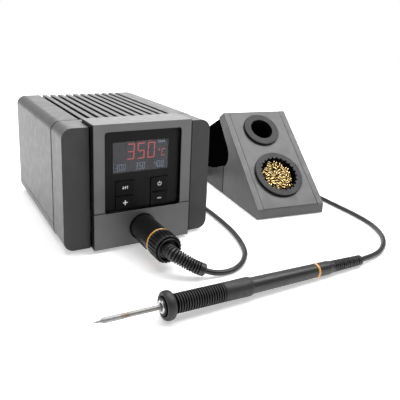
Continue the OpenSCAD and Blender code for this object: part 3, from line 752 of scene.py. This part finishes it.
def clamping_nut():
    """The plug's clamping nut, with flutes that run out through its front edge."""
    flutes, sides = 24, 24 * 12
    # (distance in front of the unit's face, radius, depth of the flutes)
    section = [(40.7, 9.0, 0), (40.7, 10.2, 0), (41.0, 10.7, 0), (41.8, 10.9, 0),
               (42.4, 10.9, 0.5), (43.6, 10.9, 0.7), (48.0, 10.9, 0.7), (52.0, 10.9, 0.7),
               (53.3, 10.85, 0.7), (54.0, 10.6, 0.7), (54.4, 10.2, 0.7), (54.3, 9.7, 0.3),
               (52.8, 9.5, 0), (52.8, 8.95, 0), (55.2, 8.95, 0), (55.8, 8.85, 0), (56.0, 8.6, 0),
               (56.0, 8.25, 0), (55.7, 7.95, 0), (53.4, 7.6, 0), (52.9, 7.2, 0), (52.9, 5.6, 0)]
    points = []
    for s, r, depth in section:
        points += circle(lambda a: r - depth * (1 - rib((a * flutes / (2 * math.pi)) % 1, 0.60, 0.26)),
                         s, sides)
    obj = build("clamping_nut_fluted", points, join_rings(len(section), sides), SOCKET)
    finish_piece(obj, black_plastic("nut_black", 0.006, 0.36), "black_plastic", "clamping_nut",
                 "clamping_nut")
    # Painted shade: black in the recess inside the front and in the gap round it
    blacken(obj, SOCKET, lambda s, r: (r < 7.7 and s > 50) or (8.9 < r < 9.8 and s < 54.5))
    return obj


def convex_band(name, where, start, end, outer, body, node):
    """A glossy ring with a rounded outside."""
    middle, half = (start + end) / 2, (end - start) / 2
    profile = [(start, outer - 1.2)]
    for k in range(13):
        a = math.pi * k / 12
        profile.append((middle - half * math.cos(a), outer - 0.55 + 0.55 * math.sin(a)))
    profile.append((end, outer - 1.2))
    obj = lathe(name, profile, where)
    return finish_piece(obj, MATERIALS["orange_plastic"], "orange_plastic", body, node)


boot = plug_boot()
nut = clamping_nut()
plug_band = convex_band("plug_band", SOCKET, 38.78, 40.45, 10.75, "root", "plug_ring")
convex_band("handle_band", IRON, 118.25, 120.25, 5.25, "iron", "handle_ring")

# ---------- iron ----------

RIBS, RIB_FIRST, RIB_LAST = 19, 4.4, 38.7


def grip_profile():
    """Nose, flange, ribs and sleeve of the rubber grip, outside first, then its bore."""
    pitch = (RIB_LAST - RIB_FIRST) / RIBS
    out = [(-1.9, 4.42), (-3.7, 4.42), (-4.1, 4.6), (-4.2, 4.9), (-4.0, 5.25), (-3.4, 5.42),
           (-1.6, 5.45), (-1.1, 5.6), (-1.0, 5.9), (-1.5, 6.15), (-2.4, 6.3), (-2.95, 6.7),
           (-3.1, 7.2), (-3.0, 7.9), (-2.5, 8.5), (-1.7, 8.92), (-0.6, 9.08), (0.6, 9.08),
           (1.6, 8.9), (2.4, 8.4), (2.9, 7.7), (3.1, 6.9), (3.2, 6.3), (3.4, 5.4)]
    for k in range(RIBS):
        s = RIB_FIRST + k * pitch
        for t, r in ((0.0, 5.35), (0.42, 5.35), (0.46, 5.95), (0.54, 6.18), (0.72, 6.25),
                     (0.88, 6.18), (0.96, 5.95), (1.0, 5.35)):
            out.append((s + t * pitch - 0.001 * (t == 1.0), r))
    out += [(RIB_LAST + 0.7, 5.4), (RIB_LAST + 0.8, 6.05), (RIB_LAST + 1.3, 6.2), (48, 6.25), (56, 6.35),
            (59.2, 6.35), (60.2, 6.25), (60.8, 5.95), (61.0, 5.55), (61.0, 5.1), (50, 5.0), (20, 5.0),
            (0, 5.0)]
    return out


def grip():
    obj = lathe("grip_ribbed", grip_profile(), IRON)
    finish_piece(obj, black_rubber("grip_rubber", 0.022), "black_rubber", "iron", "grip")
    # Painted shade: black between the ribs and in the recess behind the nose
    blacken(obj, IRON, lambda s, r: (r < 5.7 and 3.4 < s < 40) or (5.42 < r < 6.2 and -3.3 < s < 0))
    return obj


def front_bushing():
    profile = [(-4.2, 2.5), (-4.6, 2.8), (-4.75, 3.3), (-4.6, 3.9), (-4.2, 4.25), (-3.4, 4.32), (5, 4.32),
               (7.8, 4.3), (7.8, 1.65), (5, 1.65), (-0.5, 1.65), (-0.6, 2.3), (-3.6, 2.4)]
    obj = lathe("front_bushing_ring", profile, IRON)
    finish_piece(obj, MATERIALS["chrome_trim"], "chrome_trim", "iron", "front_bushing")
    # Painted shade: black down the bore
    blacken(obj, IRON, lambda s, r: r < 2.42)
    return obj


def iron_boot():
    """Strain relief of close rings, with a plain collar where the cord comes out."""
    start, end, pitch, depth = 134.1, 163.95, 2.0, 1.3
    sides = 64
    count = int((end - start) / BOOT_STEP)

    def outer(s):
        return 4.4 - 0.6 * (s - start) / (end - start)

    points = []
    for k in range(count + 1):
        s = start + (end - start) * k / count
        plain = s < start + 0.8 or s > end - 2.0
        cut = 0 if plain else (1 - rib((s - start) / pitch % 1, 0.58, 0.14)) * depth
        points += circle(lambda a: outer(s) - cut, s, sides)
    mouth = ((end, 2.5), (end - 1, 2.35))
    for s, r in mouth:
        points += circle(lambda a: r, s, sides)
    rings = count + 1 + len(mouth)
    faces = cap_ends(join_rings(rings, sides), rings, sides)
    obj = build("iron_boot_ribbed", points, faces, IRON)
    finish_piece(obj, BOOT_RUBBER, "black_rubber", "iron", "iron_boot")
    # Painted shade: black in the gaps between the rings
    blacken(obj, IRON, lambda s, r: r < outer(s) - 0.5)
    return obj


def tip():
    profile = [(-46.4, 0.06), (-46.3, 0.15), (-45.2, 0.42), (-43.8, 0.74), (-43.5, 0.76), (-43.2, 0.62),
               (-42.9, 0.62), (-42.4, 0.82), (-41.4, 1.32), (-40.7, 1.62), (-40.1, 1.68), (-28.9, 1.68),
               (-28.3, 1.64), (-28.05, 1.5), (-28.05, 0.3)]
    obj = lathe("tip_turned", profile, IRON, 48)
    return finish_piece(obj, MATERIALS["tip_plating"], "tip_plating", "cartridge", "tip")


grip()
front_bushing()
iron_boot()
tip()

# ---------- stand: toothed ring and brass turnings ----------


def cleaner_ring():
    """Flat ring whose inner edge is cut into square teeth."""
    teeth, sides = 24, 24 * 12
    tooth_r, notch_r, outer_r, low, high = 17.8, 19.2, 24.6, 0.1, 2.6
    rows = []
    for r, z in ((outer_r, low), (outer_r, high - 0.8), (outer_r - 0.15, high - 0.3),
                 (outer_r - 0.6, high), (21.5, high), (notch_r + 0.2, high)):
        rows.append([(r, z)] * sides)
    edge = []
    for i in range(sides):
        phase = (i + 0.5) / sides * teeth % 1
        edge.append(notch_r if phase < 0.42 else tooth_r)
    rows.append([(r, high) for r in edge])
    rows.append([(r, low) for r in edge])
    points = []
    for row in rows:
        for i, (r, z) in enumerate(row):
            a = 2 * math.pi * i / sides
            points.append((r * math.cos(a), r * math.sin(a), z))
    obj = build("cleaner_ring_toothed", points, join_rings(len(rows), sides, True), CLEANER, False)
    return finish_piece(obj, MATERIALS["ring_plastic"], "ring_plastic", "cleaner", "cleaner_ring")


WOOL_R, WOOL_TOP, WOOL_LOW = 17.2, 2.9, -9.0
CURLS = 34                           # in each of the two layers
SPIRAL_TURN = 2.4                    # radians from one curl of the top layer to the next
DEEP_LAYER = 3.6                     # mm from the top layer down to the lower one


def curl(points, faces, far, at, deep):
    """One turning: a narrow strip wound like a loose spring, lying in the cup."""
    bend_r, pitch = rng.uniform(2.6, 3.5), rng.uniform(2.0, 2.5)
    dome = WOOL_TOP - 0.3 - 1.9 * (far / WOOL_R) ** 2
    centre = Vector((far * math.cos(at) - 0.6, far * math.sin(at) - 0.4,
                     dome - deep - bend_r * rng.uniform(0.92, 1.05)))
    turn = Matrix.Rotation(rng.uniform(0, 2 * math.pi), 3, "Z") @ Matrix.Rotation(
        math.radians(rng.gauss(90, 16)), 3, "X")
    turns, half_w = rng.uniform(1.6, 3.0), rng.uniform(0.50, 0.64)
    count = int(20 * turns) + 4
    base, begin = len(points), rng.uniform(0, 2 * math.pi)
    for k in range(count + 1):
        a = begin + 2 * math.pi * turns * k / count
        out = Vector((math.cos(a), math.sin(a), 0))
        p = out * bend_r + Vector((0, 0, pitch * turns * (k / count - 0.5)))
        slim = half_w * min(1.0, 0.3 + 5 * min(k, count - k) / count)
        for r, z in ((-0.12, -slim), (0.16, 0), (-0.12, slim), (-0.3, slim), (-0.15, 0), (-0.3, -slim)):
            q = centre + turn @ (p + out * r + Vector((0, 0, z)))
            flat = Vector((q.x, q.y, 0))
            if flat.length > WOOL_R:
                flat *= WOOL_R / flat.length
            roof = WOOL_TOP - 1.2 * (flat.length / WOOL_R) ** 2
            points.append((flat.x, flat.y, max(min(q.z, roof), WOOL_LOW)))
    faces += [tuple(base + i for i in f) for f in cap_ends(join_rings(count + 1, 6), count + 1, 6)]


def brass_turnings():
    points, faces = [], []
    for k in range(CURLS):
        far = (WOOL_R - 1.9) * math.sqrt((k + 0.5) / CURLS)
        curl(points, faces, far, SPIRAL_TURN * k, rng.uniform(0, 0.9))
    for _ in range(CURLS):
        far = (WOOL_R - 2.5) * math.sqrt(rng.random())
        curl(points, faces, far, rng.uniform(0, 2 * math.pi), DEEP_LAYER)
    obj = build("brass_turnings", points, faces, CLEANER)
    return finish_piece(obj, MATERIALS["brass_curls"], "brass_curls", "cleaner", "brass_wool")


cleaner_ring()
brass_turnings()

# ---------- display and key marks ----------

LCD_X, LCD_Z, LCD_W, LCD_H = -1.2, 73.9, 46.4, 24.2
LCD_FACE = -1.66                     # just in front of the display module, in the unit's frame
SEGMENTS = {"0": "abcdef", "3": "abgcd", "4": "fgbc", "5": "afgcd", "C": "afed"}


def plate(points, faces, outline, y, depth=0.12):
    """A thin solid with that outline in X and Z, its face at y."""
    base, n = len(points), len(outline)
    for yy in (y, y + depth):
        points += [(x, yy, z) for x, z in outline]
    faces.append(tuple(base + i for i in range(n)))
    faces.append(tuple(base + n + i for i in reversed(range(n))))
    for i in range(n):
        j = (i + 1) % n
        faces.append((base + i, base + j, base + n + j, base + n + i))


def digit(points, faces, char, x, z, w, h, t, y, slant=0.06):
    """A seven-segment figure with its lower left corner at x, z."""
    half, g = h / 2, t * 0.12
    bars = {
        "a": [(g, h), (w - g, h), (w - t, h - t), (t, h - t)],
        "d": [(g, 0), (t, t), (w - t, t), (w - g, 0)],
        "g": [(g + t / 2, half), (t, half + t / 2), (w - t, half + t / 2), (w - g - t / 2, half),
              (w - t, half - t / 2), (t, half - t / 2)],
        "f": [(0, h - g), (t, h - t), (t, half + t / 2 + g), (0, half + g)],
        "e": [(0, half - g), (t, half - t / 2 - g), (t, t), (0, g)],
        "b": [(w, h - g), (w, half + g), (w - t, half + t / 2 + g), (w - t, h - t)],
        "c": [(w, half - g), (w, g), (w - t, t), (w - t, half - t / 2 - g)],
    }
    for name in SEGMENTS[char]:
        plate(points, faces, [(x + px + slant * pz, z + pz) for px, pz in bars[name]], y)


def marks(name, points, faces, material, slot, body):
    obj = build(name, points, faces, UNIT, smooth=False)
    return finish_piece(obj, material, slot, body)


def display_figures():
    """The reading and its unit in red, and three presets and four plain blocks in blue."""
    red = lit("figure_red", (0.42, 0.06, 0.06), 0.8)
    blue = lit("figure_blue", (0.16, 0.21, 0.28), 0.8)
    dim = lit("figure_dim", (0.34, 0.08, 0.08), 0.8)
    left, low = LCD_X - LCD_W / 2, LCD_Z - LCD_H / 2
    points, faces = [], []
    for k, char in enumerate("350"):
        digit(points, faces, char, left + 11.7 + 8.65 * k, low + 9.6, 6.2, 12.6, 0.9, LCD_FACE)
    marks("reading_figures", points, faces, red, "display_lit", "root")
    points, faces = [], []
    digit(points, faces, "C", left + 41.2, low + 10.2, 3.6, 5.8, 0.6, LCD_FACE)
    ring = [(left + 39.4 + 0.8 * math.cos(i * math.pi / 6), low + 15.4 + 0.8 * math.sin(i * math.pi / 6))
            for i in range(12)]
    plate(points, faces, ring, LCD_FACE)
    marks("unit_figure", points, faces, dim, "display_lit", "root")
    points, faces = [], []
    for k, text in enumerate(("300", "350", "400")):
        for j, char in enumerate(text):
            digit(points, faces, char, left + 2.6 + 16.2 * k + 3.0 * j, low + 1.2, 2.0, 5.2, 0.30, LCD_FACE)
    for k in range(4):
        x = left + 38.6 + 1.5 * k
        plate(points, faces, [(x, low + 21.2), (x + 0.9, low + 21.2), (x + 0.9, low + 22.6),
                              (x, low + 22.6)], LCD_FACE)
    marks("preset_figures", points, faces, blue, "display_lit", "root")


KEY_X, KEY_HIGH, KEY_LOW, KEY_FACE = 14.6, 50.0, 37.65, -4.62
INK_T = 0.1
BAR = 0.42                           # half the width of plus and minus


def stroke(points, faces, x0, x1, z0, z1, y):
    plate(points, faces, [(x0, z0), (x1, z0), (x1, z1), (x0, z1)], y, INK_T)


def arc_band(points, faces, x, z, r, t, start, end, y, steps=28):
    """An arc of a flat ring, in short blocks."""
    for k in range(steps):
        a0 = math.radians(start + (end - start) * k / steps)
        a1 = math.radians(start + (end - start) * (k + 1) / steps)
        plate(points, faces, [(x + rr * math.cos(a), z + rr * math.sin(a)) for rr, a in
                              ((r - t / 2, a0), (r + t / 2, a0), (r + t / 2, a1), (r - t / 2, a1))],
              y, INK_T)


def key_marks():
    """Generic signs on the keys: plus, minus, three sliders and a power ring."""
    ink = print_ink("key_ink", (0.80, 0.80, 0.80))
    y = KEY_FACE
    points, faces = [], []
    stroke(points, faces, -KEY_X - 1.9, -KEY_X + 1.9, KEY_LOW - BAR, KEY_LOW + BAR, y)
    stroke(points, faces, -KEY_X - BAR, -KEY_X + BAR, KEY_LOW + BAR, KEY_LOW + 1.9, y)
    stroke(points, faces, -KEY_X - BAR, -KEY_X + BAR, KEY_LOW - 1.9, KEY_LOW - BAR, y)
    marks("mark_plus", points, faces, ink, "gloss_black", "key_plus")
    points, faces = [], []
    stroke(points, faces, KEY_X - 1.7, KEY_X + 1.7, KEY_LOW - BAR, KEY_LOW + BAR, y)
    marks("mark_minus", points, faces, ink, "gloss_black", "key_minus")
    points, faces = [], []
    for k in (-1, 0, 1):
        x = -KEY_X + 1.7 * k
        stroke(points, faces, x - 0.22, x + 0.22, KEY_HIGH - 1.3, KEY_HIGH + 1.3, y)
        stroke(points, faces, x - 0.62, x + 0.62, KEY_HIGH + 0.45 * k - 0.3, KEY_HIGH + 0.45 * k + 0.3,
               y - 0.02)
    marks("mark_set", points, faces, ink, "gloss_black", "key_set")
    points, faces = [], []
    arc_band(points, faces, KEY_X, KEY_HIGH - 0.15, 1.5, 0.5, 125, 415, y)
    stroke(points, faces, KEY_X - 0.25, KEY_X + 0.25, KEY_HIGH, KEY_HIGH + 1.9, y)
    marks("mark_power", points, faces, ink, "gloss_black", "key_power")


display_figures()
key_marks()

# ---------- softened edges on the carried-over CAD nodes ----------

EDGES = {
    "main_cover": 0.35, "base_tray": 0.35, "front_bezel": 0.45, "rear_panel": 0.3,
    "fascia_upper": 0.3, "fascia_lower": 0.3, "overlay_panel": 0.15, "stand_shell": 0.4,
    "slope_plate": 0.25, "stand_rear": 0.4, "rear_shroud": 0.4, "key_set": 0.2, "key_power": 0.2,
    "key_plus": 0.2, "key_minus": 0.2, "power_inlet": 0.3, "fuse_drawer": 0.3, "holder_ring": 0.2,
    "plug_body": 0.2, "end_cap": 0.2, "plug_latch": 0.25,
    "station_feet": 0.5, "stand_feet": 0.2, "rear_screws": 0.3, "base_screws": 0.2,
    "iron_socket": 0.15, "handle_tube": 0.15,
}


def soften(name, width):
    obj = NODES[name]
    weld = obj.modifiers.new("weld", "WELD")
    weld.merge_threshold = 0.004 * MM
    bevel = obj.modifiers.new("bevel", "BEVEL")
    bevel.width = width * MM
    bevel.segments = 3
    bevel.limit_method = "ANGLE"
    bevel.angle_limit = math.radians(35)
    bevel.miter_outer = "MITER_ARC"
    bevel.use_clamp_overlap = True
    shade = obj.modifiers.new("shade", "WEIGHTED_NORMAL")
    shade.keep_sharp = False
    shade.weight = 80


for node_name, edge in EDGES.items():
    soften(node_name, edge)

# ---------- floor, world and light ----------


def stage_floor():
    size, cells = 4000.0, 8
    points = [(x * size / cells - size / 2, y * size / cells - size / 2, 0)
              for y in range(cells + 1) for x in range(cells + 1)]
    faces = [(y * (cells + 1) + x, y * (cells + 1) + x + 1, (y + 1) * (cells + 1) + x + 1,
              (y + 1) * (cells + 1) + x) for y in range(cells) for x in range(cells)]
    floor = build("floor", points, faces)
    look = Look("floor_paper", (0.90, 0.90, 0.90), 0.7)
    look.link(look.mix(look.noise(60), look.rgb((0.99, 0.99, 0.99)), look.rgb((1, 1, 1))),
              look.shader.inputs["Emission Color"])
    far = look.node("ShaderNodeVectorMath", operation="LENGTH")
    look.link(look.where, far.inputs[0])
    glow = look.spread(far.outputs["Value"], 0.45, 1.0, 0.25, 0.9)     # brighter away from the set
    look.link(glow, look.shader.inputs["Emission Strength"])
    floor.data.materials.append(look.tone(0.01, 40).done())


def area_light(name, at, aim, size, power):
    data = bpy.data.lights.new(name, "AREA")
    data.shape = "RECTANGLE"
    data.size, data.size_y = size
    data.energy = power
    obj = bpy.data.objects.new(name, data)
    obj.location = at
    obj.rotation_euler = (Vector(aim) - Vector(at)).to_track_quat("-Z", "Y").to_euler()
    bpy.context.scene.collection.objects.link(obj)


def make_world():
    """White to the camera, and to the object brighter behind the set than in front of it."""
    world = bpy.data.worlds.new("studio")
    bpy.context.scene.world = world
    world.use_nodes = True
    tree = world.node_tree
    nodes, links = tree.nodes, tree.links
    back = nodes["Background"]
    back.inputs["Color"].default_value = (1, 1, 1, 1)
    coords = nodes.new("ShaderNodeTexCoord")
    split = nodes.new("ShaderNodeSeparateXYZ")
    links.new(coords.outputs["Generated"], split.inputs[0])
    ramp = nodes.new("ShaderNodeMapRange")
    for key, value in (("From Min", -0.8), ("From Max", 0.8), ("To Min", 0.10), ("To Max", 0.50)):
        ramp.inputs[key].default_value = value
    links.new(split.outputs["Y"], ramp.inputs["Value"])
    path = nodes.new("ShaderNodeLightPath")
    pick = nodes.new("ShaderNodeMix")
    links.new(path.outputs["Is Camera Ray"], pick.inputs[0])
    links.new(ramp.outputs[0], pick.inputs[2])
    pick.inputs[3].default_value = 1.0
    links.new(pick.outputs[0], back.inputs["Strength"])


stage_floor()
make_world()
area_light("top_box", (0.05, 0.25, 1.15), (0, 0, 0.03), (1.2, 1.2), 15.5)
area_light("left_box", (-1.1, 0.0, 0.25), (-0.05, 0.02, 0.03), (0.8, 0.4), 0.9)
area_light("sheen_box", (0.60, -0.27, 0.93), (0.0875, -0.03, 0.05), (0.5, 0.5), 5.4)
area_light("rear_box", (0.55, 1.25, 0.55), (-0.06, 0.0, 0.1), (1.0, 0.5), 2.6)
bpy.context.scene.view_settings.view_transform = "Standard"

print("cord length", round(cord_length, 4))
